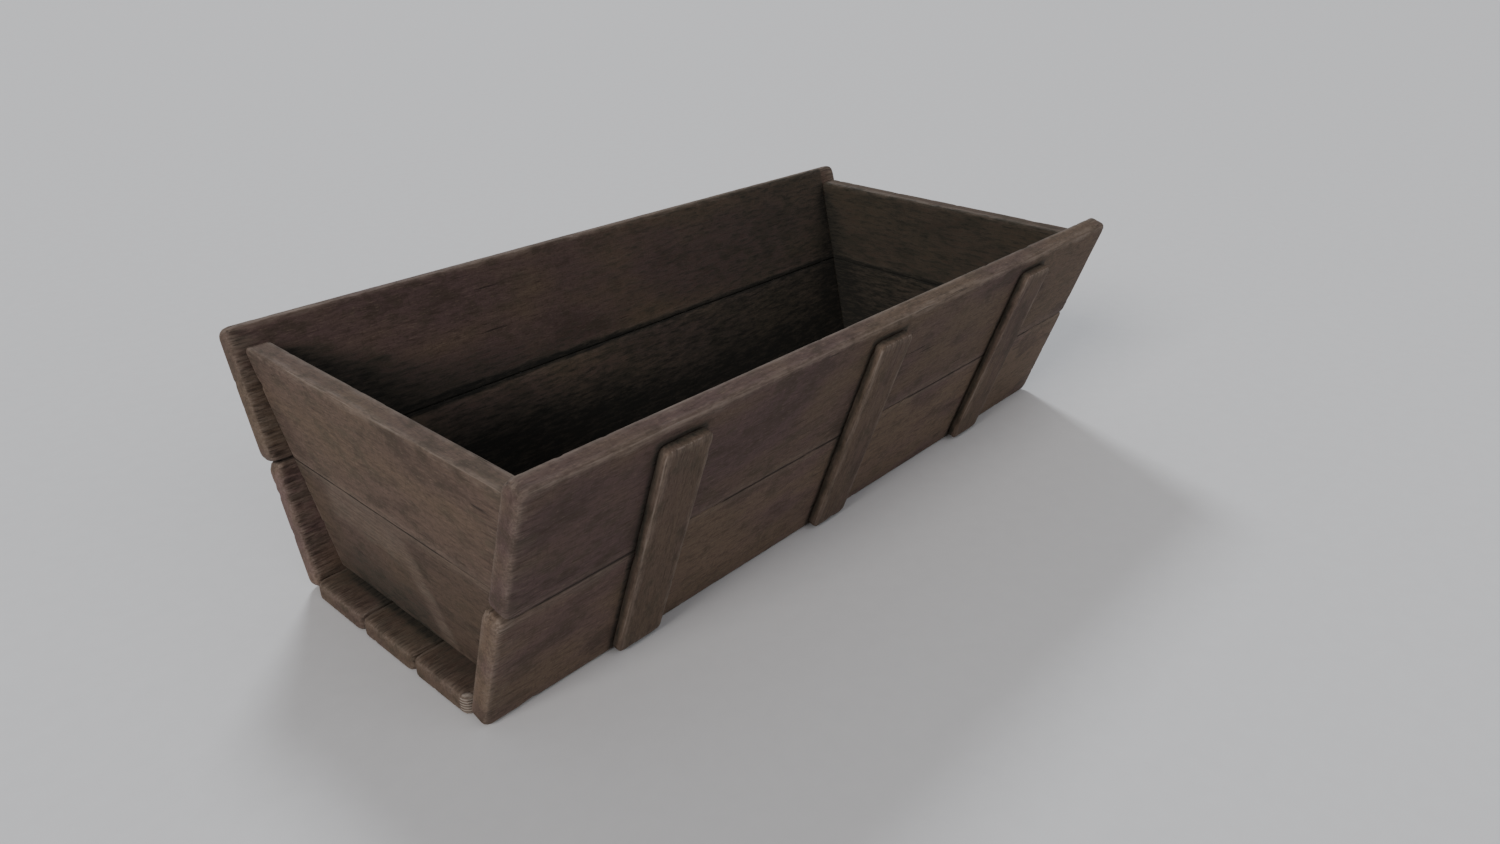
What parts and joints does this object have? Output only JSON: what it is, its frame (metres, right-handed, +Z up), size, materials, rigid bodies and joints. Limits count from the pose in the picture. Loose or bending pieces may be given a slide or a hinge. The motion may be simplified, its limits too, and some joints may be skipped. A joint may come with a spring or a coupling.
{
  "type": "mine cart body",
  "caption": "Open wooden mine cart tub with a plank floor, splayed board sides held by outside battens, and ends set in between the sides.",
  "frame": {"origin": "middle of the underside, level with the bottom of the floor planks", "axes": "+X along the tub from front to back, +Y from the near side to the far side, +Z up"},
  "size_m": [1.2, 0.6142, 0.3408],
  "materials": {
    "floor_wood": "weathered bare sawn wood, dirty and dark",
    "side_wood": "weathered bare sawn wood, grey-brown",
    "end_wood": "weathered bare sawn wood, grey-brown",
    "batten_wood": "weathered bare sawn wood, grey-brown",
    "peg_wood": "plain turned wood"
  },
  "bodies": {
    "root": {"near_floor_plank": "floor_wood", "middle_floor_plank": "floor_wood", "far_floor_plank": "floor_wood", "near_lower_side_board": "side_wood", "near_upper_side_board": "side_wood", "near_front_batten": "batten_wood", "near_middle_batten": "batten_wood", "near_back_batten": "batten_wood", "far_lower_side_board": "side_wood", "far_upper_side_board": "side_wood", "far_front_batten": "batten_wood", "far_middle_batten": "batten_wood", "far_back_batten": "batten_wood", "front_lower_end_board": "end_wood", "front_upper_end_board": "end_wood", "back_lower_end_board": "end_wood", "back_upper_end_board": "end_wood", "near_batten_pegs": "peg_wood", "far_batten_pegs": "peg_wood", "front_corner_pegs": "peg_wood", "back_corner_pegs": "peg_wood", "front_floor_pegs": "peg_wood", "back_floor_pegs": "peg_wood"}
  },
  "joints": []
}
